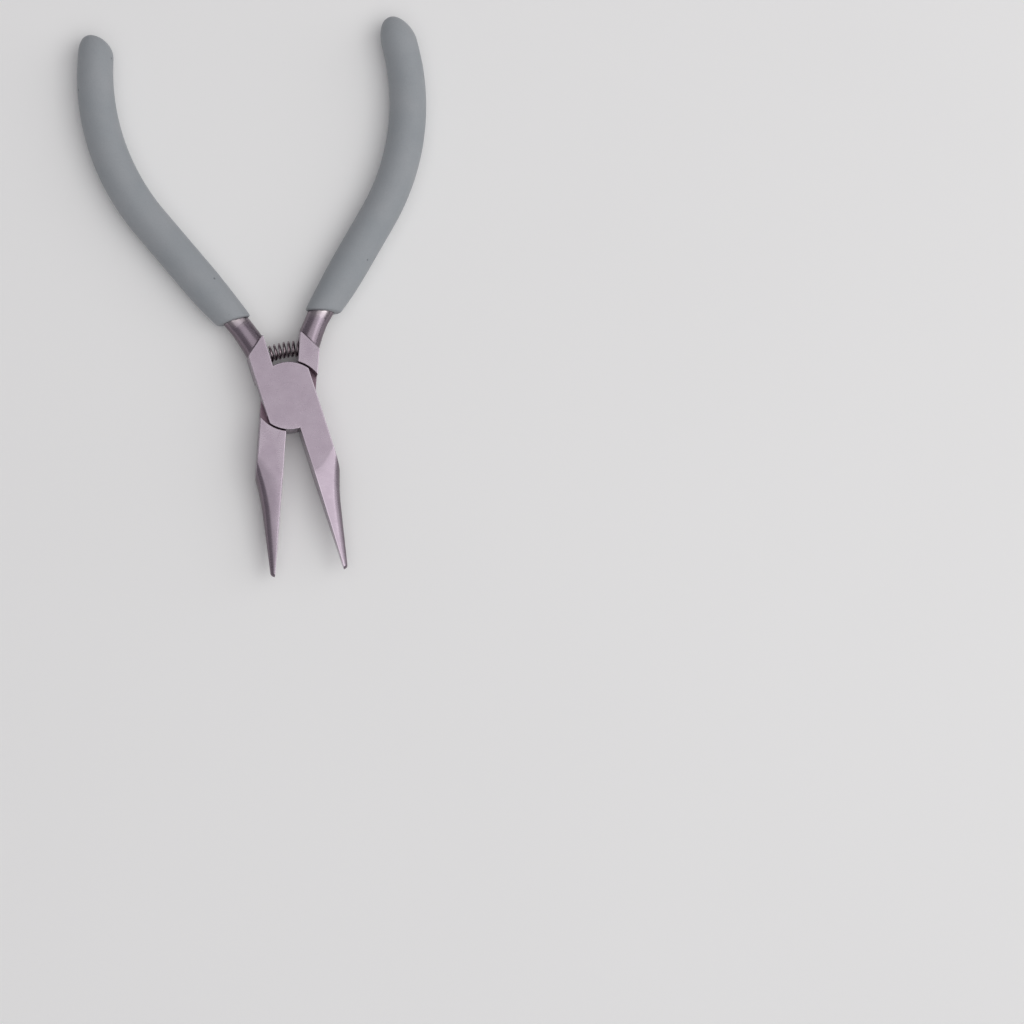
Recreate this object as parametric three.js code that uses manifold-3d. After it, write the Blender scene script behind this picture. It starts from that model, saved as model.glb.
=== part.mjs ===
// Small chain nose pliers for jewellery work. Two forged levers lap over each other at a flush
// rivet, a coil spring sits between the handle roots, and a soft sleeve covers each handle.
//
// Millimetres. The origin is where the pivot axis meets the flat back of the joint. +Y runs to the
// jaw tips and +Z out of the front face. The front lever has its handle on the +X side and its jaw
// on the -X side. The pliers stand as open as the relaxed spring holds them.

import * as THREE from 'three';
import { LoftGeometry } from 'three/addons/geometries/LoftGeometry.js';
import { mergeVertices } from 'three/addons/utils/BufferGeometryUtils.js';
import Module from 'manifold-3d';

const wasm = await Module();
wasm.setup();

const { clamp, degToRad, lerp } = THREE.MathUtils;

// ---- Driving dimensions ----

const REST_OPENING = degToRad( 21.8 ); // angle between the levers when the spring is relaxed

// The lap joint
const THICKNESS = 7.2;
const MIDDLE_Z = THICKNESS / 2;
const HALF_WIDTH = 6;
const LAP_RADIUS = 7.6; // round ends of each lap
const RECESS_RADIUS = 7.9; // of the hollow that the other lever's lap turns in
const LAP_GAP = 0.1; // between the faces of the two laps
const OVERCUT = 1; // how far a cutting solid runs past the face it cuts

// The rivet, with both ends spread flush into countersinks
const RIVET_RADIUS = 2.2;
const RIVET_HEAD_RADIUS = 2.9;
const RIVET_HEAD_DEPTH = 0.7;
const RIVET_CLEARANCE = 0.06;

// The jaws, flat inside. Outside, the closed nose is a cone with a slanting face above and below.
const JAW_FACE_X = 0.1; // each gripping face to the middle plane, with the jaws closed
const TIP_Y = 40.6;
const TIP_ROUNDING = 0.9;
const TIP_RADIUS = 0.95;
const NOSE_START_Y = 9; // inside the joint, where the nose is wider than the joint
const WIDTH_TAPER = 0.205;
const HEIGHT_TAPER = 0.12;
const WIDTH_FLARE_START_Y = 27; // of the hollow sweep from the nose up to the joint
const WIDTH_FLARE_RADIUS = 50;
const CROWN_WIDTH = 1.56; // of the oval that crowns the slanting faces, against the cone

// The handle roots, between the joint and the round necks
const ROOT_INNER_X = 1.4;
const ROOT_INNER_Y = - 14.9;
const ROOT_OUTER_Y = - 11.2;

// The handles. s is the distance along a handle's centre line from the middle of its sleeve's mouth.
// A handle leans outwards by its spread, runs straight, then bends until it leans inwards.
const MOUTH_X = 6.3;
const MOUTH_Y = - 20;
const BEND_RADIUS = 52.3;

// Forgings vary a little: the front lever leans out less, bends later and carries the longer sleeve.
// Their spring pockets do not quite face each other either.
const FRONT_HANDLE = {
	spread: degToRad( 22.6 ),
	turnIn: degToRad( 26 ),
	straight: 29,
	sleeve: 74,
	sleeveEnd: 4.6, // length of the rounded end
	pocketY: - 10.55
};
const REAR_HANDLE = {
	spread: degToRad( 25.5 ),
	turnIn: degToRad( 17.5 ),
	straight: 25.2,
	sleeve: 72.6,
	sleeveEnd: 6.6,
	pocketY: - 11.25
};

// The necks. Each ends in a shoulder at its sleeve's mouth, and swells until it spans the root's
// slanting end. Its reaches are taken from the handle's centre line.
const NECK_INNER_REACH = 2.9;
const NECK_OUTER_REACH = 2.3;
const NECK_HALF_HEIGHT = 2.5;
const NECK_SWELL_START = - 1.6;
const NECK_SWELL_END = - 8;
const NECK_START = - 9.5; // inside the root
const NECK_STEPS = 10;
const ROOT_END_HALF_HEIGHT = 3.35;
const ROOT_END_SQUARENESS = 2.3; // 2 is an oval
const SHOULDER_GAP = 0.1; // between the neck's shoulder and the sleeve

// The tangs inside the sleeves
const TANG_RADIUS = 2.1;
const TANG_END_RADIUS = 1.7;
const TANG_START = - 3; // inside the neck
const TANG_SHORT_OF_SLEEVE = 6;

// The sleeves, with their mouths cut square to the levers and so aslant to the handles
const BORE_GAP = 0.3;
const SLEEVE_MOUTH_RADIUS = 3.6;
const SLEEVE_BODY_RADIUS = 4.2;
const SLEEVE_END_RADIUS = 3.95;
const SLEEVE_SWELL = 13; // length over which the mouth widens to the body
const MOUTH_WASTE = 3; // length that the slanting cut takes off the sleeve

// The spring, seated in a blind pocket in each handle root
const POCKET_RADIUS = 2.15;
const POCKET_DEPTH = 1.2;
const COIL_RADIUS = 1.6; // of the wire's centre line
const WIRE_RADIUS = 0.25;
const TURNS = 9;
const END_PITCH = 0.6; // the first and last turns lie nearly closed
const SPRING_END_GAP = 0.3;

// Facets
const JOINT_FACETS = 96;
const RIVET_FACETS = 48;
const RING_FACETS = 24;
const NOSE_FACETS = 48;
const WIRE_FACETS = 8;
const STEPS_PER_TURN = 12;

// ---- Solids ----

function solidFrom( geometry ) {

	const bare = new THREE.BufferGeometry();
	bare.setAttribute( 'position', geometry.getAttribute( 'position' ) );
	bare.setIndex( geometry.getIndex() );
	const merged = mergeVertices( bare );
	return new wasm.Manifold( new wasm.Mesh( {
		numProp: 3,
		vertProperties: merged.getAttribute( 'position' ).array,
		triVerts: new Uint32Array( merged.getIndex().array )
	} ) );

}

function meshFrom( name, solid, material ) {

	const { vertProperties, triVerts } = solid.getMesh();
	const shared = new THREE.BufferGeometry();
	shared.setAttribute( 'position', new THREE.BufferAttribute( vertProperties, 3 ) );
	shared.setIndex( new THREE.BufferAttribute( triVerts, 1 ) );
	const geometry = shared.toNonIndexed();
	geometry.computeVertexNormals();
	const mesh = new THREE.Mesh( geometry, material );
	mesh.name = name;
	return mesh;

}

// A solid between two corners.
function block( low, high ) {

	const size = high.clone().sub( low );
	const geometry = new THREE.BoxGeometry( size.x, size.y, size.z );
	geometry.translate( ...low.clone().add( high ).multiplyScalar( 0.5 ) );
	return solidFrom( geometry );

}

// A solid turned about the Z axis, from [ radius, z ] pairs that start and end on the axis.
function turned( profile, facets ) {

	const points = profile.map( ( [ radius, z ] ) => new THREE.Vector2( radius, z ) );
	const geometry = new THREE.LatheGeometry( points, facets );
	geometry.rotateX( Math.PI / 2 );
	return solidFrom( geometry );

}

// A ring of points round a centre: a circle, or an oval or rounded oblong, whose squareness is 2 for
// a true oval. across, up and the loft's direction are right-handed.
function ring( { centre, across, up, halfWidth, halfHeight = halfWidth, squareness = 2 }, facets ) {

	const bulge = ( share ) => Math.sign( share ) * Math.abs( share ) ** ( 2 / squareness );
	return Array.from( { length: facets }, ( _, i ) => {

		const angle = i / facets * Math.PI * 2;
		return centre.clone()
			.addScaledVector( across, halfWidth * bulge( Math.cos( angle ) ) )
			.addScaledVector( up, halfHeight * bulge( Math.sin( angle ) ) );

	} );

}

function lofted( sections ) {

	return solidFrom( new LoftGeometry( sections, { capStart: true, capEnd: true } ) );

}

// ---- The levers, drawn with the jaws closed ----

// Plan of a lever: a jaw on the -X side, the round-ended lap, and the handle root on the +X side.
function leverOutline() {

	const side = Math.acos( HALF_WIDTH / LAP_RADIUS );
	const jawFace = Math.PI / 2 + Math.asin( JAW_FACE_X / LAP_RADIUS );
	const rootFace = - Math.PI / 2 + Math.asin( ROOT_INNER_X / LAP_RADIUS );
	const outline = new THREE.Shape();
	outline.moveTo( - HALF_WIDTH, TIP_Y + OVERCUT );
	outline.lineTo( - JAW_FACE_X, TIP_Y + OVERCUT );
	outline.absarc( 0, 0, LAP_RADIUS, jawFace, side, true );
	outline.lineTo( HALF_WIDTH, ROOT_OUTER_Y );
	outline.lineTo( ROOT_INNER_X, ROOT_INNER_Y );
	outline.absarc( 0, 0, LAP_RADIUS, rootFace, - Math.PI + side, true );
	outline.closePath();
	return outline;

}

function noseRadius( y ) {

	const flareRun = Math.max( 0, WIDTH_FLARE_START_Y - y );
	return TIP_RADIUS + WIDTH_TAPER * ( TIP_Y - y ) + flareRun * flareRun / ( 2 * WIDTH_FLARE_RADIUS );

}

function noseHalfHeight( y ) {

	return TIP_RADIUS + HEIGHT_TAPER * ( TIP_Y - y );

}

// An oval solid from inside the joint to the rounded tip. The two sizes are functions of y.
function noseShape( halfWidthAt, halfHeightAt ) {

	const steps = 18;
	const roundSteps = 5;
	const roundStart = TIP_Y - TIP_ROUNDING;
	const sectionAt = ( y, scale ) => ring( {
		centre: new THREE.Vector3( 0, y, MIDDLE_Z ),
		across: new THREE.Vector3( - 1, 0, 0 ),
		up: new THREE.Vector3( 0, 0, 1 ),
		halfWidth: scale * halfWidthAt( y ),
		halfHeight: scale * halfHeightAt( y )
	}, NOSE_FACETS );
	const sections = [];
	for ( let i = 0; i <= steps; i ++ ) {

		sections.push( sectionAt( lerp( NOSE_START_Y, roundStart, i / steps ), 1 ) );

	}

	for ( let i = 1; i <= roundSteps; i ++ ) {

		const angle = i / ( roundSteps + 0.5 ) * Math.PI / 2;
		sections.push( sectionAt( roundStart + TIP_ROUNDING * Math.sin( angle ), Math.cos( angle ) ) );

	}

	return lofted( sections );

}

// What is ground away round the nose.
function noseWaste() {

	const cone = noseShape( noseRadius, noseRadius );
	const slantingFaces = noseShape( ( y ) => CROWN_WIDTH * noseRadius( y ), noseHalfHeight );
	const blank = block(
		new THREE.Vector3( - HALF_WIDTH - OVERCUT, NOSE_START_Y + OVERCUT, - OVERCUT ),
		new THREE.Vector3( OVERCUT, TIP_Y + 2 * OVERCUT, THICKNESS + OVERCUT )
	);
	return blank.subtract( cone.intersect( slantingFaces ) );

}

// The centre line of a handle: straight, then an arc that turns it inwards, then straight again.
function handleAt( s, { spread, turnIn, straight } ) {

	const turn = clamp( ( s - straight ) / BEND_RADIUS, 0, spread + turnIn );
	const lean = spread - turn;
	const before = Math.min( s, straight );
	const after = Math.max( 0, s - straight - BEND_RADIUS * ( spread + turnIn ) );
	const out = before * Math.sin( spread )
		+ BEND_RADIUS * ( Math.cos( lean ) - Math.cos( spread ) ) + after * Math.sin( lean );
	const along = before * Math.cos( spread )
		+ BEND_RADIUS * ( Math.sin( spread ) - Math.sin( lean ) ) + after * Math.cos( lean );
	return { centre: new THREE.Vector3( MOUTH_X + out, MOUTH_Y - along, MIDDLE_Z ), lean };

}

// A solid along a handle, from sections of { s, halfWidth } and the ring's other sizes. offset sets a
// section's middle out from the centre line.
function alongHandle( sections, handle ) {

	const up = new THREE.Vector3( 0, 0, 1 );
	return lofted( sections.map( ( { s, offset = 0, ...sizes } ) => {

		const { centre, lean } = handleAt( s, handle );
		const across = new THREE.Vector3( Math.cos( lean ), Math.sin( lean ), 0 );
		centre.addScaledVector( across, offset );
		return ring( { centre, across, up, ...sizes }, RING_FACETS );

	} ) );

}

// Sections of a dome that closes a round end, beyond s.
function dome( s, radius, length ) {

	const steps = 6;
	return Array.from( { length: steps }, ( _, i ) => {

		const angle = ( i + 1 ) / ( steps + 0.3 ) * Math.PI / 2;
		return { s: s + length * Math.sin( angle ), halfWidth: radius * Math.cos( angle ) };

	} );

}

function tangRadius( s, tangEnd ) {

	return lerp( TANG_RADIUS, TANG_END_RADIUS, clamp( s / tangEnd, 0, 1 ) );

}

// How far a point lies out from a handle's centre line.
function outFromHandle( x, y, { spread } ) {

	return ( x - MOUTH_X ) * Math.cos( spread ) + ( y - MOUTH_Y ) * Math.sin( spread );

}

function neck( handle ) {

	const outerCorner = outFromHandle( HALF_WIDTH, ROOT_OUTER_Y, handle );
	const innerCorner = outFromHandle( ROOT_INNER_X, ROOT_INNER_Y, handle );
	const sections = Array.from( { length: NECK_STEPS + 1 }, ( _, i ) => {

		const s = lerp( NECK_START, - TANG_START, i / NECK_STEPS );
		const share = clamp( ( s - NECK_SWELL_START ) / ( NECK_SWELL_END - NECK_SWELL_START ), 0, 1 );
		const outer = lerp( NECK_OUTER_REACH, outerCorner, share );
		const inner = lerp( - NECK_INNER_REACH, innerCorner, share );
		return {
			s,
			offset: ( outer + inner ) / 2,
			halfWidth: ( outer - inner ) / 2,
			halfHeight: lerp( NECK_HALF_HEIGHT, ROOT_END_HALF_HEIGHT, share ),
			squareness: lerp( 2, ROOT_END_SQUARENESS, share )
		};

	} );
	const springSide = block(
		new THREE.Vector3( - HALF_WIDTH, MOUTH_Y, 0 ),
		new THREE.Vector3( ROOT_INNER_X, 0, THICKNESS )
	);
	const sleeveSide = block(
		new THREE.Vector3( 0, MOUTH_Y - HALF_WIDTH, 0 ),
		new THREE.Vector3( 3 * HALF_WIDTH, MOUTH_Y + SHOULDER_GAP, THICKNESS )
	);
	return alongHandle( sections, handle ).subtract( springSide ).subtract( sleeveSide );

}

function tang( handle ) {

	const steps = 20;
	const tangEnd = handle.sleeve - TANG_SHORT_OF_SLEEVE;
	const sections = [];
	for ( let i = 0; i <= steps; i ++ ) {

		const s = lerp( TANG_START, tangEnd, i / steps );
		sections.push( { s, halfWidth: tangRadius( s, tangEnd ) } );

	}

	sections.push( ...dome( tangEnd, TANG_END_RADIUS, TANG_END_RADIUS ) );
	return alongHandle( sections, handle );

}

// The recess for the other lever's lap, in the back half of the joint.
function lapRecess() {

	const top = MIDDLE_Z + LAP_GAP / 2;
	const profile = [ [ 0, - OVERCUT ], [ RECESS_RADIUS, - OVERCUT ], [ RECESS_RADIUS, top ], [ 0, top ] ];
	return turned( profile, JOINT_FACETS );

}

// Outline of the rivet from end to end, widened by a clearance and run past its ends by an overcut.
function rivetProfile( clearance, overcut ) {

	const head = RIVET_HEAD_RADIUS + clearance;
	const shank = RIVET_RADIUS + clearance;
	const profile = [
		[ head, 0 ],
		[ shank, RIVET_HEAD_DEPTH ],
		[ shank, THICKNESS - RIVET_HEAD_DEPTH ],
		[ head, THICKNESS ]
	];
	if ( overcut > 0 ) {

		profile.unshift( [ head, - overcut ] );
		profile.push( [ head, THICKNESS + overcut ] );

	}

	return [ [ 0, - overcut ], ...profile, [ 0, THICKNESS + overcut ] ];

}

function springPocket( { pocketY } ) {

	const length = POCKET_DEPTH + OVERCUT;
	const geometry = new THREE.CylinderGeometry( POCKET_RADIUS, POCKET_RADIUS, length, RING_FACETS );
	geometry.rotateZ( Math.PI / 2 );
	geometry.translate( ROOT_INNER_X + POCKET_DEPTH - length / 2, pocketY, MIDDLE_Z );
	return solidFrom( geometry );

}

function lever( handle ) {

	const slab = solidFrom( new THREE.ExtrudeGeometry( leverOutline(), {
		depth: THICKNESS,
		bevelEnabled: false,
		curveSegments: JOINT_FACETS / 4
	} ) );
	return slab
		.subtract( noseWaste() )
		.subtract( lapRecess() )
		.add( neck( handle ) )
		.add( tang( handle ) )
		.subtract( turned( rivetProfile( RIVET_CLEARANCE, OVERCUT ), RIVET_FACETS ) )
		.subtract( springPocket( handle ) );

}

// ---- The sleeves ----

function sleeveRadius( s, length ) {

	const swell = clamp( s / SLEEVE_SWELL, 0, 1 );
	const body = lerp( SLEEVE_MOUTH_RADIUS, SLEEVE_BODY_RADIUS, Math.sin( swell * Math.PI / 2 ) );
	const slim = clamp( ( s - length / 2 ) / ( length / 2 ), 0, 1 );
	return lerp( body, SLEEVE_END_RADIUS, slim * slim );

}

// A sleeve: a round-ended bar with a blind bore that clears the tang and a slanting mouth.
function sleeve( handle ) {

	const steps = 18;
	const length = handle.sleeve;
	const tangEnd = length - TANG_SHORT_OF_SLEEVE;
	const boreEnd = tangEnd + TANG_END_RADIUS + BORE_GAP;
	const roundStart = length - handle.sleeveEnd;
	const bore = [];
	const outside = [];
	for ( let i = 0; i <= steps; i ++ ) {

		const inner = lerp( - MOUTH_WASTE - OVERCUT, boreEnd, i / steps );
		bore.push( { s: inner, halfWidth: tangRadius( inner, tangEnd ) + BORE_GAP } );
		const outer = lerp( - MOUTH_WASTE, roundStart, i / steps );
		outside.push( { s: outer, halfWidth: sleeveRadius( outer, length ) } );

	}

	outside.push( ...dome( roundStart, sleeveRadius( roundStart, length ), handle.sleeveEnd ) );
	const waste = block(
		new THREE.Vector3( - HALF_WIDTH, MOUTH_Y, - THICKNESS ),
		new THREE.Vector3( 3 * HALF_WIDTH, MOUTH_Y + 3 * MOUTH_WASTE, 2 * THICKNESS )
	);
	return alongHandle( outside, handle ).subtract( alongHandle( bore, handle ) ).subtract( waste );

}

// ---- The spring, drawn in place between the open handle roots ----

// Its axis is an arc from one pocket to the other, and distance runs along it from the middle.
function springAxis() {

	const halfOpening = REST_OPENING / 2;
	const pivot = new THREE.Vector3( 0, 0, 1 );
	const frontSeat = new THREE.Vector3( ROOT_INNER_X, FRONT_HANDLE.pocketY, MIDDLE_Z )
		.applyAxisAngle( pivot, halfOpening );
	const rearSeat = new THREE.Vector3( - ROOT_INNER_X, REAR_HANDLE.pocketY, MIDDLE_Z )
		.applyAxisAngle( pivot, - halfOpening );
	const chord = frontSeat.clone().sub( rearSeat );
	const tilt = Math.atan2( chord.y, chord.x );
	const radius = chord.length() / ( 2 * Math.sin( halfOpening ) );
	const towardsCentre = new THREE.Vector3( - Math.sin( tilt ), Math.cos( tilt ), 0 );
	const centre = frontSeat.add( rearSeat ).multiplyScalar( 0.5 )
		.addScaledVector( towardsCentre, radius * Math.cos( halfOpening ) );
	const halfLength = radius * halfOpening + POCKET_DEPTH - SPRING_END_GAP - WIRE_RADIUS;
	return { radius, centre, tilt, halfLength };

}

// How far along the axis the wire has travelled after a number of turns.
function travel( turn, length ) {

	const openPitch = ( length - 2 * END_PITCH ) / ( TURNS - 2 );
	const first = Math.min( turn, 1 );
	const last = Math.max( 0, turn - ( TURNS - 1 ) );
	return END_PITCH * ( first + last ) + openPitch * ( turn - first - last );

}

function coil() {

	const { radius, centre: axisCentre, tilt, halfLength } = springAxis();
	const up = new THREE.Vector3( 0, 0, 1 );
	const steps = TURNS * STEPS_PER_TURN;
	const step = 1e-3;

	const wireAt = ( turn ) => {

		const bend = tilt + ( travel( turn, 2 * halfLength ) - halfLength ) / radius;
		const outward = new THREE.Vector3( Math.sin( bend ), - Math.cos( bend ), 0 );
		const axis = outward.clone().multiplyScalar( radius ).add( axisCentre );
		const angle = turn * Math.PI * 2;
		const radial = outward.multiplyScalar( Math.cos( angle ) ).addScaledVector( up, Math.sin( angle ) );
		return { centre: axis.addScaledVector( radial, COIL_RADIUS ), radial };

	};

	const sections = Array.from( { length: steps + 1 }, ( _, i ) => {

		const turn = i / STEPS_PER_TURN;
		const { centre, radial } = wireAt( turn );
		const before = wireAt( turn - step ).centre;
		const along = wireAt( turn + step ).centre.sub( before ).normalize();
		const across = radial.addScaledVector( along, - radial.dot( along ) ).normalize();
		const side = new THREE.Vector3().crossVectors( along, across );
		return ring( { centre, across, up: side, halfWidth: WIRE_RADIUS }, WIRE_FACETS );

	} );
	return lofted( sections );

}

// ---- Assembly ----

const steel = new THREE.MeshStandardMaterial( { color: 0xb4acb4, roughness: 0.35, metalness: 1 } );
const springSteel = new THREE.MeshStandardMaterial( { color: 0x8c8488, roughness: 0.25, metalness: 1 } );
const softGrip = new THREE.MeshStandardMaterial( { color: 0x8d949c, roughness: 0.8, metalness: 0 } );

const frontLever = new THREE.Group();
frontLever.rotation.z = REST_OPENING / 2;
frontLever.add( meshFrom( 'front_lever', lever( FRONT_HANDLE ), steel ) );
frontLever.add( meshFrom( 'front_grip', sleeve( FRONT_HANDLE ), softGrip ) );
frontLever.add( meshFrom( 'pivot_rivet', turned( rivetProfile( 0, 0 ), RIVET_FACETS ), steel ) );

// The rear lever is the same shape turned half round the long axis, so that its lap is at the back.
const rearHalf = new THREE.Group();
rearHalf.rotation.y = Math.PI;
rearHalf.position.z = THICKNESS;
rearHalf.add( meshFrom( 'rear_lever', lever( REAR_HANDLE ), steel ) );
rearHalf.add( meshFrom( 'rear_grip', sleeve( REAR_HANDLE ), softGrip ) );

const rearLever = new THREE.Group();
rearLever.rotation.z = - REST_OPENING / 2;
rearLever.add( rearHalf );

const pliers = new THREE.Group();
pliers.add( frontLever, rearLever, meshFrom( 'return_spring', coil(), springSteel ) );

export default pliers;
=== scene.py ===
"""Looks of the chain nose pliers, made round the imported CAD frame.

Shapes are worked out in millimetres and scaled to metres once they are meshes. Each lever is drawn
with the jaws closed, as a field of signed distances (negative inside), and meshed from that field,
so its ground edges, its nose and its fillets are real geometry. The origin is where the pivot axis
meets the flat back of the joint, +Y runs to the jaw tips and +Z out of the front face.
"""

import math
from dataclasses import dataclass

import bmesh
import bpy
import numpy as np
import openvdb
from mathutils import Matrix, Vector


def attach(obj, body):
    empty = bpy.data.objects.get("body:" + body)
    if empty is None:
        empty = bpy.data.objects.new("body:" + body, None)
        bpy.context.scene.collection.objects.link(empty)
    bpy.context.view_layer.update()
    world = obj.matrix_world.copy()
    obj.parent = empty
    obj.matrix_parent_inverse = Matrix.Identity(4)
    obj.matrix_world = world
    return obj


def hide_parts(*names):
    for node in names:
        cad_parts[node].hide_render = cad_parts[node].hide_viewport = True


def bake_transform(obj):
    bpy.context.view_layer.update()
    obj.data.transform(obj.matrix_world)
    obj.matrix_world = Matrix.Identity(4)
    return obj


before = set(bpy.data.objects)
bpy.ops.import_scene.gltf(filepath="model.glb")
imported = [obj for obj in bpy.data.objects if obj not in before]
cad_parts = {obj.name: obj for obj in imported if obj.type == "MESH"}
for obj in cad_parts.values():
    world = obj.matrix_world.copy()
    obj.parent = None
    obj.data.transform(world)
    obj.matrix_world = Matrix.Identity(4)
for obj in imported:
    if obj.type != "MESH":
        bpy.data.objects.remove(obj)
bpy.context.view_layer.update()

MM = 0.001
REST_OPENING = math.radians(21.8)  # angle between the levers at rest

# The lap joint
THICKNESS = 7.2
MIDDLE_Z = THICKNESS / 2
HALF_WIDTH = 6.0
LAP_RADIUS = 7.6
RECESS_RADIUS = 7.9
LAP_GAP = 0.1
HEAD_RADIUS = 2.9
HEAD_DEPTH = 0.7
RIVET_RADIUS = 2.2
RIVET_FIT = 0.012
HOLE_OVERRUN = 1.0  # of the tool that cuts the rivet's hole, past both faces

# The jaws
JAW_FACE_X = 0.1
TIP_Y = 40.6
TIP_ROUNDING = 0.9
TIP_RADIUS = 0.95
WIDTH_TAPER = 0.205
HEIGHT_TAPER = 0.12
WIDTH_FLARE_START_Y = 27.0  # of the hollow sweep from the nose up to the joint
WIDTH_FLARE_RADIUS = 50.0
CROWN_WIDTH = 1.56  # of the oval that crowns the slanting faces, against the cone
NOSE_EDGE = 0.7
NOSE_START_Y = 8.0  # behind it the nose's shape no longer touches the jaws

# The handle roots and necks. A neck's reaches are taken from the handle's centre line.
ROOT_INNER_X = 1.4
ROOT_INNER_Y = -14.9
ROOT_OUTER_Y = -11.2
NECK_INNER_REACH = 2.9
NECK_OUTER_REACH = 2.3
NECK_HALF_HEIGHT = 2.5
NECK_SWELL_START = -1.6
NECK_SWELL_END = -8.0
NECK_SWELL_POWER = 1.4  # above 1, so that the outer side widens late
NECK_START = -9.5  # inside the root
ROOT_END_HALF_HEIGHT = 3.35
ROOT_END_SQUARENESS = 2.3  # 2 is an oval
NECK_FILLET = 0.2
SHOULDER_GAP = 0.02  # between the neck's shoulder and the sleeve

# The handles. s is the distance along a handle's centre line from the middle of its sleeve's mouth.
# A handle leans outwards by its spread, runs straight, then bends until it leans inwards.
MOUTH_X = 6.3
MOUTH_Y = -20.0
BEND_RADIUS = 52.3
TANG_RADIUS = 2.1
TANG_END_RADIUS = 1.7
TANG_START = -3.0  # inside the neck
TANG_SHORT_OF_SLEEVE = 6.0


@dataclass
class Handle:
    """What differs between the two handles."""

    spread: float
    turn_in: float
    straight: float
    sleeve: float
    pocket_y: float
    sleeve_end: float  # length of the sleeve's rounded end
    bluntness: float  # of that end, 2 being an ellipse
    end_slant: float  # of that end, positive where its outer side is the longer

    def out_from(self, x, y):
        """How far a point lies out from the handle's centre line."""
        return (x - MOUTH_X) * math.cos(self.spread) + (y - MOUTH_Y) * math.sin(self.spread)


FRONT_HANDLE = Handle(
    spread=math.radians(22.6),
    turn_in=math.radians(26.0),
    straight=29.0,
    sleeve=74.0,
    pocket_y=-10.55,
    sleeve_end=4.6,
    bluntness=2.4,
    end_slant=0.28,
)
REAR_HANDLE = Handle(
    spread=math.radians(25.5),
    turn_in=math.radians(17.5),
    straight=25.2,
    sleeve=72.6,
    pocket_y=-11.25,
    sleeve_end=6.6,
    bluntness=2.0,
    end_slant=-0.25,
)

# The sleeves
SLEEVE_MOUTH_RADIUS = 3.6
SLEEVE_BODY_RADIUS = 4.2
SLEEVE_END_RADIUS = 3.95
SLEEVE_SWELL = 13.0  # length behind the mouth over which a sleeve grows to its body's radius
SLEEVE_RIM = 0.55  # rounding of the mouth's outer edge
SLEEVE_BORE_GAP = 0.04
BORE_STOP = 0.35  # where the tapered bore stops, short of its rounded lip
BORE_LIP_LENGTH = 0.2
BORE_LIP_RISE = 0.25
SLANT_REACH = 9.0  # length over which the slant of the mouth or the end dies away

# The spring and its pockets
POCKET_RADIUS = 2.15
POCKET_DEPTH = 1.2
COIL_RADIUS = 1.6
WIRE_RADIUS = 0.25
TURNS = 9
END_PITCH = 0.6  # of the first and the last turn
SPRING_END_GAP = 0.3  # between the coil and the bottom of a pocket

# Edges and meshes
GROUND_EDGE = 0.12
FACE_EDGE = 0.12
SOFT_EDGE = 0.4
VOXEL = 0.1  # grid step of a lever's field
BAND = 0.3  # distance from the surface up to which the field is kept
LEVER_FACES = 180000  # about how many triangles a lever's mesh is thinned to
WIDE_FACE = 0.01  # area above which a face takes its own normal beside a rounded edge
WIDE_FACE_TURN = math.radians(5)
RIVET_SIDES = 128
TANG_SIDES = 40
TANG_RINGS = 40
SLEEVE_SIDES = 72
SLEEVE_BORE_RINGS = 60
SLEEVE_BODY_RINGS = 150
WIRE_SIDES = 14
WIRE_RINGS = 48  # in each turn of the coil

# Maps for the steel's tints: wear, painted shade and a painted highlight
WEAR_AND_SHADE_PROBE = 0.35  # depth at which wear and the painted shade of crevices are felt for
WEAR_GAIN = 3  # how fast the steel counts as worn where it thins out under an edge
CREVICE_SHADE_GAIN = 2  # how fast the painted shade darkens where walls close in
SIDE_START = 0.85  # share of a normal along Z below which a round face starts to take painted side shade
SIDE_FULL = 0.4  # and below which it fully does
MOUTH_HIGHLIGHT_LENGTH = 2.2  # of neck, by the sleeve's mouth, whose top takes a painted highlight


# ---- Fields ----


def rounded_overlap(first, second, radius):
    """What lies in both fields, with the edge between them rounded."""
    a = first + radius
    b = second + radius
    corner = np.hypot(np.maximum(a, 0), np.maximum(b, 0))
    return np.minimum(np.maximum(a, b), 0) + corner - radius


def rounded_join(first, second, radius):
    """What lies in either field, with a hollow fillet between them."""
    return -rounded_overlap(-first, -second, radius)


def plan_field(x, y):
    """Plan of a lever: a jaw on the -X side, the round-ended lap and the handle root on the +X side."""
    lap = rounded_overlap(np.hypot(x, y) - LAP_RADIUS, np.abs(x) - HALF_WIDTH, GROUND_EDGE)
    jaw = np.maximum(np.maximum(x + JAW_FACE_X, -x - HALF_WIDTH), -y)
    run = HALF_WIDTH - ROOT_INNER_X
    rise = ROOT_OUTER_Y - ROOT_INNER_Y
    length = math.hypot(run, rise)
    end = ((x - ROOT_INNER_X) * rise - (y - ROOT_INNER_Y) * run) / length
    root = rounded_overlap(np.maximum(ROOT_INNER_X - x, x - HALF_WIDTH), end, SOFT_EDGE)
    root = np.maximum(root, y)
    return np.minimum(np.minimum(lap, jaw), root)


def oval_field(x, z, cap, half_width, half_height):
    """A long oval bar that is closed by a dome, where cap runs from 0 to 1."""
    across = x / half_width
    up = (z - MIDDLE_Z) / half_height
    reach = np.sqrt(across**2 + up**2 + cap**2) + 1e-6
    slope = np.sqrt((across / half_width) ** 2 + (up / half_height) ** 2 + (cap / TIP_ROUNDING) ** 2) + 1e-6
    return reach * (reach - 1) / slope


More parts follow.
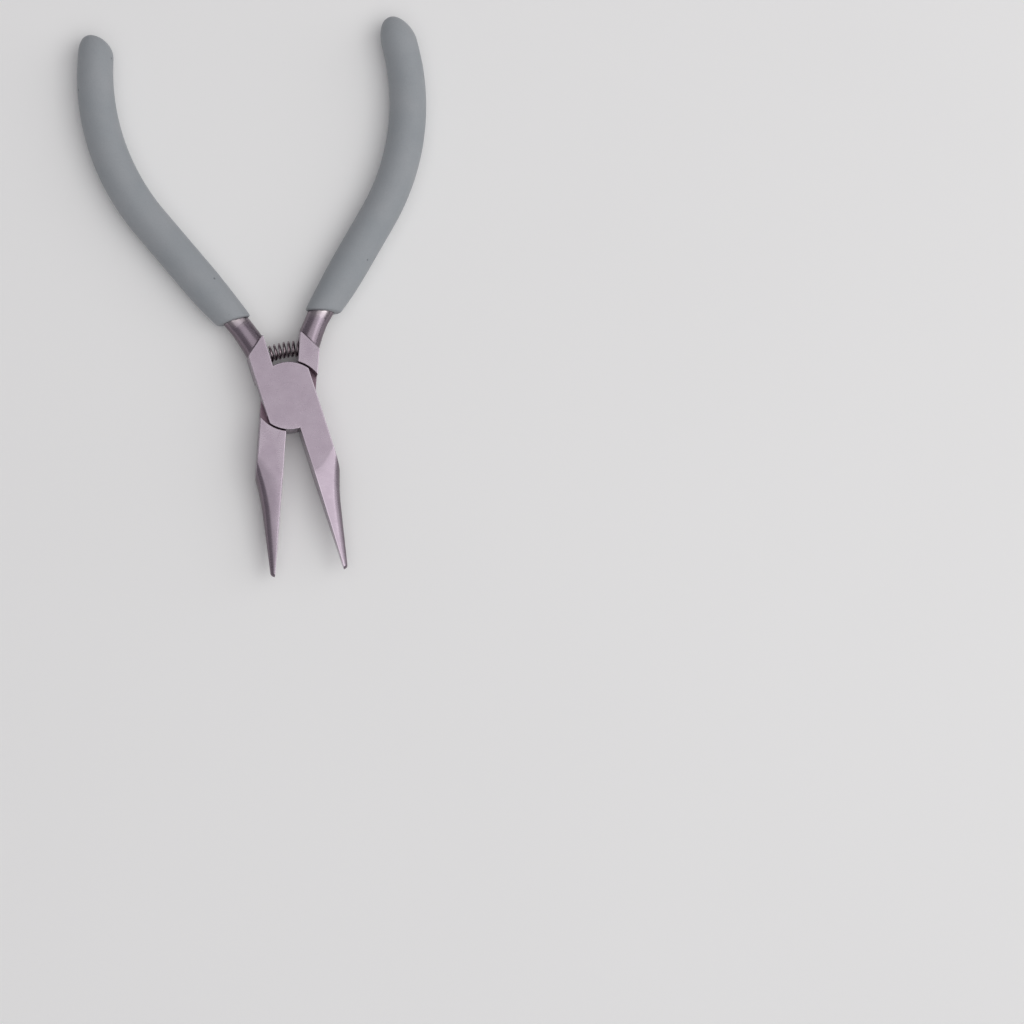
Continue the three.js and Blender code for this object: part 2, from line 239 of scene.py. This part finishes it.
def nose_field(x, y, z):
    """The outside of the closed jaws: a cone with a crowned slanting face above and below."""
    flare = np.maximum(WIDTH_FLARE_START_Y - y, 0) ** 2 / (2 * WIDTH_FLARE_RADIUS)
    radius = np.maximum(TIP_RADIUS + WIDTH_TAPER * (TIP_Y - y) + flare, TIP_RADIUS / 2)
    half_height = np.maximum(TIP_RADIUS + HEIGHT_TAPER * (TIP_Y - y), TIP_RADIUS / 2)
    cap = np.maximum(y - TIP_Y + TIP_ROUNDING, 0) / TIP_ROUNDING
    cone = oval_field(x, z, cap, radius, radius)
    slanting_faces = oval_field(x, z, cap, CROWN_WIDTH * radius, half_height)
    return rounded_overlap(cone, slanting_faces, NOSE_EDGE)


def neck_field(x, y, z, handle):
    """The neck, from a shoulder at the sleeve's mouth until it spans the root's slanting end."""
    s = (x - MOUTH_X) * math.sin(handle.spread) - (y - MOUTH_Y) * math.cos(handle.spread)
    share = np.clip((s - NECK_SWELL_START) / (NECK_SWELL_END - NECK_SWELL_START), 0, 1)
    root_outer = handle.out_from(HALF_WIDTH, ROOT_OUTER_Y)
    root_inner = handle.out_from(ROOT_INNER_X, ROOT_INNER_Y)
    outer = NECK_OUTER_REACH + (root_outer - NECK_OUTER_REACH) * share**NECK_SWELL_POWER
    inner = -NECK_INNER_REACH + (root_inner + NECK_INNER_REACH) * share
    half_width = (outer - inner) / 2
    half_height = NECK_HALF_HEIGHT + (ROOT_END_HALF_HEIGHT - NECK_HALF_HEIGHT) * share
    power = 2 + (ROOT_END_SQUARENESS - 2) * share
    side = np.abs(handle.out_from(x, y) - (outer + inner) / 2) / half_width
    top = np.abs(z - MIDDLE_Z) / half_height
    reach = (side**power + top**power + 1e-9) ** (1 / power)
    bar = (reach - 1) * np.minimum(half_width, half_height)
    ends = np.maximum(NECK_START - s, MOUTH_Y + SHOULDER_GAP - y)
    return np.maximum(np.maximum(bar, ends), ROOT_INNER_X - x)


def lever_field(x, y, z, handle):
    """A whole lever without the tang inside its sleeve."""
    faces = np.abs(z - MIDDLE_Z) - MIDDLE_Z
    body = rounded_overlap(plan_field(x, y), faces, GROUND_EDGE)
    body = rounded_overlap(body, np.where(y > NOSE_START_Y, nose_field(x, y, z), -HALF_WIDTH), FACE_EDGE)
    body = rounded_join(body, neck_field(x, y, z, handle), NECK_FILLET)
    reach = np.hypot(x, y)
    recess = np.maximum(reach - RECESS_RADIUS, z - MIDDLE_Z - LAP_GAP / 2)
    body = rounded_overlap(body, -recess, GROUND_EDGE)
    pocket = np.hypot(y - handle.pocket_y, z - MIDDLE_Z) - POCKET_RADIUS
    pocket = np.maximum(pocket, x - ROOT_INNER_X - POCKET_DEPTH)
    return rounded_overlap(body, -pocket, GROUND_EDGE)


def field_at(points, handle):
    """The lever's field at each of an array of points."""
    return lever_field(points[:, 0], points[:, 1], points[:, 2], handle)


def gradient_at(points, handle, step=0.02):
    """Unit outward direction of the lever's surface at each point."""
    slopes = np.empty_like(points)
    for axis in range(3):
        shift = np.zeros(3)
        shift[axis] = step
        slopes[:, axis] = field_at(points + shift, handle) - field_at(points - shift, handle)
    return slopes / np.maximum(np.linalg.norm(slopes, axis=1, keepdims=True), 1e-9)


def lever_surface(handle):
    """Points and quads of a lever's surface, from a grid with some room round the lever."""
    low = np.array([-HALF_WIDTH - 0.6, MOUTH_Y - 0.5, -0.5])
    high = np.array([MOUTH_X + NECK_OUTER_REACH + 0.8, TIP_Y + 0.6, THICKNESS + 0.5])
    counts = np.ceil((high - low) / VOXEL).astype(int)
    x, y, z = (low[axis] + VOXEL * np.arange(counts[axis], dtype=np.float32) for axis in range(3))
    field = lever_field(x[:, None, None], y[None, :, None], z[None, None, :], handle)
    field = np.clip(field, -BAND, BAND).astype(np.float32)
    grid = openvdb.FloatGrid(BAND)
    grid.copyFromArray(np.ascontiguousarray(field))
    points, quads = grid.convertToQuads(isovalue=0.0)
    return points * VOXEL + low, quads


# ---- Meshes ----


def mesh_object(name, points, faces):
    """Adds an object with a mesh of the points and faces."""
    mesh = bpy.data.meshes.new(name)
    mesh.from_pydata([tuple(p) for p in points], [], [tuple(f) for f in faces])
    mesh.validate()
    made = bpy.data.objects.new(name, mesh)
    bpy.context.scene.collection.objects.link(made)
    return made


def apply_modifiers(target):
    """Swaps the object's mesh for its result with every modifier applied."""
    graph = bpy.context.evaluated_depsgraph_get()
    result = bpy.data.meshes.new_from_object(target.evaluated_get(graph))
    target.modifiers.clear()
    target.data = result


def shade_smooth(target):
    target.data.polygons.foreach_set("use_smooth", [True] * len(target.data.polygons))


def read_all(elements, key, width=1, kind=float):
    """One property of all of a mesh's elements, as an array."""
    values = np.empty(len(elements) * width, dtype=kind)
    elements.foreach_get(key, values)
    return values.reshape(-1, width) if width > 1 else values


def add_boolean(target, operation, other):
    change = target.modifiers.new(operation.lower(), "BOOLEAN")
    change.operation = operation
    change.solver = "MANIFOLD"
    change.object = other


def quarter_turn(steps, first, last):
    """Angles of the first to the last of the steps that a quarter turn is cut into."""
    return [step / steps * math.pi / 2 for step in range(first, last + 1)]


def handle_at(s, handle):
    """Centre of a handle's section and its lean: straight, then an arc inwards, then straight."""
    bend = handle.spread + handle.turn_in
    turn = min(max((s - handle.straight) / BEND_RADIUS, 0), bend)
    lean = handle.spread - turn
    before = min(s, handle.straight)
    after = max(0, s - handle.straight - BEND_RADIUS * bend)
    out = before * math.sin(handle.spread) + after * math.sin(lean)
    out += BEND_RADIUS * (math.cos(lean) - math.cos(handle.spread))
    along = before * math.cos(handle.spread) + after * math.cos(lean)
    along += BEND_RADIUS * (math.sin(handle.spread) - math.sin(lean))
    return MOUTH_X + out, MOUTH_Y - along, lean


def tang_radius(s, tang_end):
    """Radius of the tang, which tapers evenly from the mouth of its sleeve."""
    share = min(max(s / tang_end, 0), 1)
    return TANG_RADIUS + (TANG_END_RADIUS - TANG_RADIUS) * share


def ring_faces(rings, sides):
    """Quads between rings of points that follow each other along a bar."""
    faces = []
    for ring in range(rings - 1):
        for side in range(sides):
            after = (side + 1) % sides
            a, b = ring * sides, (ring + 1) * sides
            faces.append((a + side, a + after, b + after, b + side))
    return faces


def swept(name, profile, handle, sides, slant=None):
    """A closed skin along a handle, from (s, radius) pairs that start and end with radius 0."""
    points = []
    for s, radius in profile[1:-1]:
        for side in range(sides):
            angle = side / sides * 2 * math.pi
            across = radius * math.cos(angle)
            shifted = s if slant is None else s + across * slant(s)
            x, y, lean = handle_at(shifted, handle)
            height = MIDDLE_Z + radius * math.sin(angle)
            points.append((x + across * math.cos(lean), y + across * math.sin(lean), height))
    rings = len(profile) - 2
    faces = ring_faces(rings, sides)
    for pole, ring, turn in ((profile[0], 0, 1), (profile[-1], rings - 1, -1)):
        x, y, _ = handle_at(pole[0], handle)
        points.append((x, y, MIDDLE_Z))
        centre = len(points) - 1
        for side in range(sides):
            after = (side + 1) % sides
            faces.append((centre, ring * sides + after, ring * sides + side)[::turn])
    return mesh_object(name, points, faces)


def tang(name, handle):
    """The bar inside the sleeve, which starts inside the neck."""
    end = handle.sleeve - TANG_SHORT_OF_SLEEVE
    profile = [(TANG_START, 0)]
    profile += [(s, tang_radius(s, end)) for s in np.linspace(TANG_START, end, TANG_RINGS)]
    for angle in quarter_turn(7, 1, 6):
        profile.append((end + TANG_END_RADIUS * math.sin(angle), TANG_END_RADIUS * math.cos(angle)))
    profile.append((end + TANG_END_RADIUS, 0))
    return swept(name, profile, handle, TANG_SIDES)


def lever(name, handle):
    """One forged lever with its tang, ground edges and maps for the steel's tints: wear, painted shade and
    a painted highlight.
    """
    surface, quads = lever_surface(handle)
    made = mesh_object(name, surface, quads)
    thin = made.modifiers.new("thin", "DECIMATE")
    thin.ratio = min(1, LEVER_FACES / (2 * len(quads)))
    inner = tang(name + "_tang", handle)
    hole = rivet("hole", RIVET_FIT, HOLE_OVERRUN)
    add_boolean(made, "UNION", inner)
    add_boolean(made, "DIFFERENCE", hole)
    apply_modifiers(made)
    bpy.data.objects.remove(inner)
    bpy.data.objects.remove(hole)
    shade_smooth(made)
    points, normals, on_field = settle_on_field(made.data, handle)
    set_corner_normals(made.data, normals)
    add_tint_maps(made.data, handle, points, normals, on_field)
    return made


def settle_on_field(mesh, handle):
    """Moves a lever's points onto its field. Gives the points, their normals and which are on it."""
    points = read_all(mesh.vertices, "co", 3)
    on_field = np.abs(field_at(points, handle)) < VOXEL
    for _ in range(2):
        moved = points[on_field]
        points[on_field] = moved - gradient_at(moved, handle) * field_at(moved, handle)[:, None]
    mesh.vertices.foreach_set("co", points.ravel())
    mesh.update()
    normals = read_all(mesh.vertices, "normal", 3)
    normals[on_field] = gradient_at(points[on_field], handle)
    return points, normals, on_field


def set_corner_normals(mesh, normals):
    """Gives corners the surface's normals, but keeps wide flat faces flat beside rounded edges."""
    sides = read_all(mesh.polygons, "loop_total", kind=int)
    areas = np.repeat(read_all(mesh.polygons, "area"), sides)
    flat = np.repeat(read_all(mesh.polygons, "normal", 3), sides, axis=0)
    corners = normals[read_all(mesh.loops, "vertex_index", kind=int)]
    turned_away = np.sum(corners * flat, axis=1) < math.cos(WIDE_FACE_TURN)
    kept_flat = turned_away & (areas > WIDE_FACE)
    corners[kept_flat] = flat[kept_flat]
    mesh.normals_split_custom_set([tuple(n) for n in corners])


def add_tint_maps(mesh, handle, points, normals, on_field):
    """Marks from 0 to 1 where the steel is worn, and where shade or a highlight is painted on it: in
    corners and the lap's recess, on round sides, and atop the necks by the sleeve's mouth.
    """
    x, y, z = points.T
    buried = -field_at(points - normals * WEAR_AND_SHADE_PROBE, handle) / WEAR_AND_SHADE_PROBE
    raised = field_at(points + normals * WEAR_AND_SHADE_PROBE, handle) / WEAR_AND_SHADE_PROBE
    wear = np.clip((1 - buried) * WEAR_GAIN, 0, 1)
    # Painted shade: the lap's recess and the corners where walls close in are darkened in the steel's
    # colour.
    lapped = (np.hypot(x, y) < RECESS_RADIUS + GROUND_EDGE) & (z < MIDDLE_Z + LAP_GAP)
    painted_crevice_shade = np.where(lapped, 1, np.clip((1 - raised) * CREVICE_SHADE_GAIN, 0, 1))
    on_nose = (y > NOSE_START_Y) & (np.abs(nose_field(x, y, z)) < VOXEL / 2)
    on_neck = np.abs(neck_field(x, y, z, handle)) < VOXEL / 2
    # Painted shade: round sides of the nose and necks are darkened, standing in for the shadowed ground
    # they mirror.
    sideways = np.clip((SIDE_START - np.abs(normals[:, 2])) / (SIDE_START - SIDE_FULL), 0, 1)
    # Painted highlight: the tops of the necks are brightened next to the sleeves' mouths.
    near_sleeve = np.clip((MOUTH_Y + MOUTH_HIGHLIGHT_LENGTH - y) / MOUTH_HIGHLIGHT_LENGTH, 0, 1)
    maps = {
        "wear": np.where(on_field, wear, 0),
        "painted_crevice_shade": np.where(on_field, painted_crevice_shade, 0),
        "painted_side_shade": np.where(on_nose | on_neck, sideways, 0),
        "painted_mouth_highlight": np.where(on_neck, near_sleeve * (1 - sideways), 0),
    }
    for name, values in maps.items():
        attribute = mesh.attributes.new(name, "FLOAT", "POINT")
        attribute.data.foreach_set("value", values.astype(np.float32))


def sleeve_radius(s, length):
    """Outer radius of a sleeve, which swells behind its mouth and slims towards its end."""
    swell = min(max(s / SLEEVE_SWELL, 0), 1)
    body = SLEEVE_MOUTH_RADIUS + (SLEEVE_BODY_RADIUS - SLEEVE_MOUTH_RADIUS) * math.sin(swell * math.pi / 2)
    slim = min(max((s - length / 2) / (length / 2), 0), 1)
    return body + (SLEEVE_END_RADIUS - body) * slim**2


def sleeve_profile(handle):
    """From the bore's blind end to the mouth, round its rolled rim and on to the rounded end."""
    length = handle.sleeve
    tang_end = length - TANG_SHORT_OF_SLEEVE
    bore_end = tang_end + TANG_END_RADIUS + SLEEVE_BORE_GAP
    profile = [(bore_end, 0)]
    for s in np.linspace(bore_end, BORE_STOP, SLEEVE_BORE_RINGS):
        profile.append((s, tang_radius(s, tang_end) + SLEEVE_BORE_GAP))
    inner = tang_radius(0, tang_end) + SLEEVE_BORE_GAP
    for angle in quarter_turn(4, 1, 4):
        s = BORE_LIP_LENGTH * (1 - math.sin(angle))
        profile.append((s, inner + BORE_LIP_RISE * (1 - math.cos(angle))))
    rim = sleeve_radius(0, length)
    for angle in quarter_turn(8, 0, 8):
        profile.append((SLEEVE_RIM * (1 - math.cos(angle)), rim - SLEEVE_RIM * (1 - math.sin(angle))))
    end_start = length - handle.sleeve_end
    for s in np.linspace(SLEEVE_RIM, end_start, SLEEVE_BODY_RINGS)[1:]:
        profile.append((s, sleeve_radius(s, length)))
    end_radius = sleeve_radius(end_start, length)
    power = 2 / handle.bluntness
    for angle in quarter_turn(24, 1, 23):
        s = end_start + handle.sleeve_end * math.sin(angle) ** power
        profile.append((s, end_radius * math.cos(angle) ** power))
    profile.append((length, 0))
    return profile


def sleeve(name, handle):
    """A soft sleeve with a blind bore, whose mouth and end both slant."""

    def nearness(distance):
        share = min(max(distance / SLANT_REACH, 0), 1)
        return 1 - share * share * (3 - 2 * share)

    def slant(s):
        return math.tan(handle.spread) * nearness(s) + handle.end_slant * nearness(handle.sleeve - s)

    return swept(name, sleeve_profile(handle), handle, SLEEVE_SIDES, slant)


def spring_axis():
    """The arc from one pocket to the other: its centre, its radius, its tilt and half its length."""
    half = REST_OPENING / 2
    front = Matrix.Rotation(half, 3, "Z") @ Vector((ROOT_INNER_X, FRONT_HANDLE.pocket_y, MIDDLE_Z))
    rear = Matrix.Rotation(-half, 3, "Z") @ Vector((-ROOT_INNER_X, REAR_HANDLE.pocket_y, MIDDLE_Z))
    chord = front - rear
    tilt = math.atan2(chord.y, chord.x)
    radius = chord.length / (2 * math.sin(half))
    centre = (front + rear) / 2 + Vector((-math.sin(tilt), math.cos(tilt), 0)) * radius * math.cos(half)
    return centre, radius, tilt, radius * half + POCKET_DEPTH - SPRING_END_GAP - WIRE_RADIUS


def travel(turn, length):
    """How far along the axis the wire has travelled after a number of turns."""
    open_pitch = (length - 2 * END_PITCH) / (TURNS - 2)
    first = np.minimum(turn, 1)
    last = np.maximum(0, turn - (TURNS - 1))
    return END_PITCH * (first + last) + open_pitch * (turn - first - last)


def spring():
    """The coil of round wire between the two handle roots."""
    centre, radius, tilt, half_length = spring_axis()
    steps = TURNS * WIRE_RINGS
    turns = np.linspace(0, TURNS, steps + 1)

    def wire_at(turn):
        bend = tilt + (travel(turn, 2 * half_length) - half_length) / radius
        outward = np.stack([np.sin(bend), -np.cos(bend), np.zeros_like(bend)], 1)
        angle = 2 * np.pi * turn
        radial = outward * np.cos(angle)[:, None] + np.array([0, 0, 1]) * np.sin(angle)[:, None]
        return np.array(centre) + outward * radius + radial * COIL_RADIUS, radial

    centres, radials = wire_at(turns)
    along = wire_at(turns + 1e-3)[0] - wire_at(turns - 1e-3)[0]
    along /= np.linalg.norm(along, axis=1, keepdims=True)
    across = radials - along * np.sum(radials * along, 1, keepdims=True)
    across /= np.linalg.norm(across, axis=1, keepdims=True)
    side = np.cross(along, across)
    angles = np.arange(WIRE_SIDES) / WIRE_SIDES * 2 * np.pi
    rings = (
        centres[:, None]
        + WIRE_RADIUS * np.cos(angles)[None, :, None] * across[:, None]
        + WIRE_RADIUS * np.sin(angles)[None, :, None] * side[:, None]
    )
    faces = ring_faces(steps + 1, WIRE_SIDES)
    faces.append(tuple(reversed(range(WIRE_SIDES))))
    faces.append(tuple(range(steps * WIRE_SIDES, (steps + 1) * WIRE_SIDES)))
    return mesh_object("coil_spring", rings.reshape(-1, 3), faces)


def rivet(name, gap=0.0, overrun=0.0):
    """The rivet, spread flush into both countersinks, or with a gap and an overrun its hole."""
    made = bmesh.new()
    head = HEAD_RADIUS + gap
    profile = [(0.0, -overrun), (head, -overrun)]
    if overrun > 0:
        profile.append((head, 0.0))
    profile.append((RIVET_RADIUS + gap, HEAD_DEPTH))
    profile += [(radius, THICKNESS - z) for radius, z in reversed(profile)]
    verts = [made.verts.new((radius, 0, z)) for radius, z in profile]
    for first, second in zip(verts, verts[1:]):
        made.edges.new((first, second))
    bmesh.ops.spin(
        made,
        geom=made.verts[:] + made.edges[:],
        cent=(0, 0, 0),
        axis=(0, 0, 1),
        angle=2 * math.pi,
        steps=RIVET_SIDES,
    )
    bmesh.ops.remove_doubles(made, verts=made.verts, dist=1e-4)
    bmesh.ops.recalc_face_normals(made, faces=made.faces)
    mesh = bpy.data.meshes.new(name)
    made.to_mesh(mesh)
    made.free()
    result = bpy.data.objects.new(name, mesh)
    bpy.context.scene.collection.objects.link(result)
    return result


# ---- Materials ----

# The steel's mauve tint is a painted reflection of pink surroundings.
STEEL = (0.334, 0.279, 0.329, 1)
STEEL_CLEAN = (0.369, 0.312, 0.363, 1)
STEEL_WORN = (0.52, 0.46, 0.51, 1)
# Painted shade for corners and the lap's recess
STEEL_PAINTED_SHADE = (0.10, 0.05, 0.07, 1)
# Painted highlight on the tops of the necks by the sleeves' mouths
STEEL_PAINTED_HIGHLIGHT = (0.66, 0.60, 0.60, 1)
# Painted shade for the round sides of the nose and necks
STEEL_PAINTED_SIDE_SHADE = (0.090, 0.062, 0.078, 1)
WIRE_DARK = (0.20, 0.15, 0.17, 1)
WIRE_BRIGHT = (0.38, 0.32, 0.34, 1)
GREY_DARK = (0.324, 0.349, 0.369, 1)
GREY_PALE = (0.364, 0.382, 0.400, 1)
GREY_GRAIN = (0.262, 0.281, 0.298, 1)
GREY_SPECK = (0.06, 0.065, 0.075, 1)
FLOOR_DARK = (0.93, 0.93, 0.92, 1)
FLOOR_PALE = (0.96, 0.96, 0.95, 1)


class Nodes:
    """Short ways to add and join shader nodes."""

    def __init__(self, name):
        self.material = bpy.data.materials.new(name)
        self.material.use_nodes = True
        self.tree = self.material.node_tree
        self.shader = self.tree.nodes["Principled BSDF"]

    def add(self, kind, inputs=None, **settings):
        node = self.tree.nodes.new(kind)
        for key, value in settings.items():
            setattr(node, key, value)
        for key, value in (inputs or {}).items():
            self.put(node.inputs[key], value)
        return node

    def put(self, socket, value):
        if isinstance(value, bpy.types.NodeSocket):
            self.tree.links.new(value, socket)
        else:
            socket.default_value = value

    def set(self, **inputs):
        for key, value in inputs.items():
            self.put(self.shader.inputs[key.replace("_", " ")], value)

    def place(self, stretch=(1, 1, 1)):
        """Position on the object in millimetres, stretched for a direction of grain."""
        spot = self.add("ShaderNodeAttribute", attribute_name="drawn").outputs["Vector"]
        return self.add("ShaderNodeVectorMath", {0: spot, 1: stretch}, operation="MULTIPLY").outputs[0]

    def noise(self, scale, stretch=(1, 1, 1), detail=3.0, roughness=0.5):
        values = {"Vector": self.place(stretch), "Scale": scale, "Detail": detail, "Roughness": roughness}
        return self.add("ShaderNodeTexNoise", values).outputs["Fac"]

    def span(self, value, low, high, start=0.0, end=1.0):
        values = {"Value": value, "From Min": start, "From Max": end, "To Min": low, "To Max": high}
        return self.add("ShaderNodeMapRange", values).outputs["Result"]

    def math(self, operation, first, second):
        return self.add("ShaderNodeMath", {0: first, 1: second}, operation=operation).outputs[0]

    def mix(self, factor, first, second):
        """A blend of two colours, by the numbers of the node's colour sockets."""
        node = self.add("ShaderNodeMix", data_type="RGBA")
        self.put(node.inputs[0], factor)
        self.put(node.inputs[6], first)
        self.put(node.inputs[7], second)
        return node.outputs[2]

    def bump(self, height, distance, strength=1.0, normal=None):
        values = {"Height": height, "Distance": distance, "Strength": strength}
        if normal is not None:
            values["Normal"] = normal
        return self.add("ShaderNodeBump", values).outputs["Normal"]

    def attribute(self, name):
        return self.add("ShaderNodeAttribute", attribute_name=name).outputs["Fac"]


def ground_steel():
    """Satin steel: grinding lines, faint stains, bright worn places, painted shade in corners and on round
    sides, and a painted highlight by the sleeves.
    """
    steel = Nodes("ground_steel")
    cloudy = steel.noise(0.35, detail=4.0)
    lines = steel.noise(1.0, stretch=(0.5, 9.0, 2.0), detail=4.0, roughness=0.6)
    grit = steel.noise(6.0, detail=2.0)
    tint = steel.mix(steel.span(cloudy, 0, 1, 0.3, 0.7), STEEL, STEEL_CLEAN)
    # Wear is the steel's own tint; the crevice and side marks are painted shade, the mouth mark a painted
    # highlight.
    for name, most, colour in (
        ("wear", 0.3, STEEL_WORN),
        ("painted_crevice_shade", 0.75, STEEL_PAINTED_SHADE),
        ("painted_mouth_highlight", 0.6, STEEL_PAINTED_HIGHLIGHT),
        ("painted_side_shade", 0.7, STEEL_PAINTED_SIDE_SHADE),
    ):
        tint = steel.mix(steel.math("MULTIPLY", steel.attribute(name), most), tint, colour)
    rough = steel.span(lines, 0.25, 0.34, 0.3, 0.7)
    rough = steel.math("ADD", rough, steel.span(grit, -0.03, 0.03))
    rough = steel.math("SUBTRACT", rough, steel.math("MULTIPLY", steel.attribute("wear"), 0.08))
    normal = steel.bump(lines, 0.00001, 0.35)
    normal = steel.bump(grit, 0.000006, 0.35, normal)
    steel.set(Base_Color=tint, Metallic=1.0, Roughness=rough, Normal=normal)
    return steel.material


def drawn_wire():
    """Dark, bright-drawn spring wire."""
    wire = Nodes("drawn_wire")
    streaks = wire.noise(3.0, detail=3.0)
    tint = wire.mix(wire.span(streaks, 0, 1, 0.35, 0.65), WIRE_DARK, WIRE_BRIGHT)
    rough = wire.span(streaks, 0.16, 0.3)
    wire.set(Base_Color=tint, Metallic=1.0, Roughness=rough, Normal=wire.bump(streaks, 0.00001))
    return wire.material


def soft_grey():
    """Matt cool grey sleeve: fine grain, slow mottling and a few dark specks."""
    grey = Nodes("soft_grey")
    mottle = grey.noise(0.12, detail=5.0, roughness=0.55)
    grain = grey.noise(3.2, detail=2.0, roughness=0.6)
    lumps = grey.noise(0.45, detail=2.0)
    tint = grey.mix(grey.span(mottle, 0, 1, 0.3, 0.7), GREY_DARK, GREY_PALE)
    tint = grey.mix(grey.span(grain, 0, 0.25, 0.45, 0.75), tint, GREY_GRAIN)
    cells = grey.add("ShaderNodeTexVoronoi", {"Vector": grey.place(), "Scale": 0.16, "Randomness": 1.0})
    speck = grey.span(cells.outputs["Distance"], 1, 0, 0.03, 0.055)
    tint = grey.mix(grey.math("MULTIPLY", speck, 0.6), tint, GREY_SPECK)
    rough = grey.span(grain, 0.55, 0.7)
    normal = grey.bump(lumps, 0.00006, 0.6)
    normal = grey.bump(grain, 0.00002, 0.7, normal)
    grey.set(Base_Color=tint, Roughness=rough, Normal=normal)
    grey.set(Specular_IOR_Level=0.35, Sheen_Weight=0.08, Sheen_Roughness=0.5)
    return grey.material


def studio_floor():
    """Nearly white, matt paper."""
    pale = Nodes("studio_floor")
    spot = pale.add("ShaderNodeTexCoord").outputs["Object"]
    cloud = pale.add("ShaderNodeTexNoise", {"Vector": spot, "Scale": 9.0}).outputs["Fac"]
    pale.set(Base_Color=pale.mix(cloud, FLOOR_DARK, FLOOR_PALE), Roughness=0.9)
    return pale.material


# ---- Studio ----

ROLL = math.radians(7.18)
VIEW_SIDE = math.radians(7.0)
VIEW_UP = math.radians(6.5)
CAMERA_DISTANCE = 1.0
SENSOR_WIDTH = 36
FRAME_WIDTH = 0.2275  # of what the picture takes in, at the object
PIVOT_FRONT = Vector((0, 0, THICKNESS * MM))
PICTURE_RIGHT_OF_PIVOT = 0.0495
PICTURE_BELOW_PIVOT = 0.0259
FLOOR_Z = -0.0007
FLOOR_REACH = 12.0  # so far that its edge is as dim as the surroundings
LIGHT_AIM = Vector((0, -0.02, 0))
LIGHTS = (  # name, how far right, up and towards the camera from the aim, size, power
    ("overhead", 0.32, 0.0, 1.3, 2.4, 8.8),
    ("upper", 0.6, -0.08, 1.15, 1.1, 2.6),
    ("key", 0.86, 0.3, 0.42, 1.0, 2.0),
)
WORLD_COLOUR = (0.98, 0.95, 1.0, 1)
WORLD_STRENGTH = 0.26


def studio_camera():
    """Looks down on the pliers with their tips towards the bottom of the picture."""
    towards = Vector((math.sin(VIEW_SIDE), math.sin(VIEW_UP), 1)).normalized()
    up = Vector((-math.sin(ROLL), -math.cos(ROLL), 0))
    right = up.cross(towards).normalized()
    up = towards.cross(right)
    centre = PIVOT_FRONT + right * PICTURE_RIGHT_OF_PIVOT - up * PICTURE_BELOW_PIVOT
    camera = bpy.data.objects.new("camera", bpy.data.cameras.new("camera"))
    turn = Matrix((right, up, towards)).transposed().to_4x4()
    camera.matrix_world = Matrix.Translation(centre + towards * CAMERA_DISTANCE) @ turn
    camera.data.sensor_width = SENSOR_WIDTH
    camera.data.lens = SENSOR_WIDTH * CAMERA_DISTANCE / FRAME_WIDTH
    camera.data.clip_start = 0.01
    bpy.context.scene.collection.objects.link(camera)
    bpy.context.scene.camera = camera
    return right, up, towards


def soft_light(name, spot, size, power):
    """A round soft light that faces the pliers."""
    light = bpy.data.lights.new(name, "AREA")
    light.shape = "DISK"
    light.size = size
    light.energy = power
    lamp = bpy.data.objects.new(name, light)
    turn = (spot - LIGHT_AIM).to_track_quat("Z", "Y").to_matrix().to_4x4()
    lamp.matrix_world = Matrix.Translation(spot) @ turn
    bpy.context.scene.collection.objects.link(lamp)


def studio(right, up, towards):
    """The floor, the lights and the dim world round them."""
    corners = [(x * FLOOR_REACH, y * FLOOR_REACH, 0) for x, y in ((-1, -1), (1, -1), (1, 1), (-1, 1))]
    floor = mesh_object("floor", corners, [(0, 1, 2, 3)])
    floor.location.z = FLOOR_Z
    floor.data.materials.append(studio_floor())
    for name, rightwards, upwards, forwards, size, power in LIGHTS:
        spot = LIGHT_AIM + right * rightwards + up * upwards + towards * forwards
        soft_light(name, spot, size, power)
    world = bpy.data.worlds.new("studio")
    bpy.context.scene.world = world
    world.use_nodes = True
    background = world.node_tree.nodes["Background"]
    background.inputs["Color"].default_value = WORLD_COLOUR
    background.inputs["Strength"].default_value = WORLD_STRENGTH


# ---- Assembly ----


def finish_piece(piece, material):
    """Keeps each point's drawing place, which the materials read, and scales the piece to metres."""
    drawn = piece.data.attributes.new("drawn", "FLOAT_VECTOR", "POINT")
    drawn.data.foreach_set("vector", read_all(piece.data.vertices, "co", 3).astype(np.float32).ravel())
    piece.data.transform(Matrix.Scale(MM, 4))
    piece.data.materials.clear()
    piece.data.materials.append(material)


def put_in_place(piece, material, body, node, front):
    """Turns a piece from its drawing place to its place at rest, in the frame."""
    half = REST_OPENING / 2
    if front:
        place = Matrix.Rotation(half, 4, "Z")
    else:
        flip = Matrix.Translation((0, 0, THICKNESS * MM)) @ Matrix.Rotation(math.pi, 4, "Y")
        place = Matrix.Rotation(-half, 4, "Z") @ flip
    finish_piece(piece, material)
    piece.data.transform(place)
    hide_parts(node)
    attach(piece, body)


def add_spring():
    """The coil between the two handle roots, at rest, in place of the CAD model's spring."""
    coil = spring()
    shade_smooth(coil)
    finish_piece(coil, drawn_wire())
    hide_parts("return_spring")
    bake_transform(coil)


def main():
    steel = ground_steel()
    grey = soft_grey()
    for side, handle, body in (("front", FRONT_HANDLE, "front_half"), ("rear", REAR_HANDLE, "rear_half")):
        bar = lever(side + "_forging", handle)
        put_in_place(bar, steel, body, side + "_lever", side == "front")
        grip = sleeve(side + "_sleeve", handle)
        shade_smooth(grip)
        put_in_place(grip, grey, body, side + "_grip", side == "front")
    pin = rivet("rivet")
    put_in_place(pin, steel, "front_half", "pivot_rivet", True)
    add_spring()
    studio(*studio_camera())
    bpy.context.scene.view_settings.view_transform = "Standard"


main()
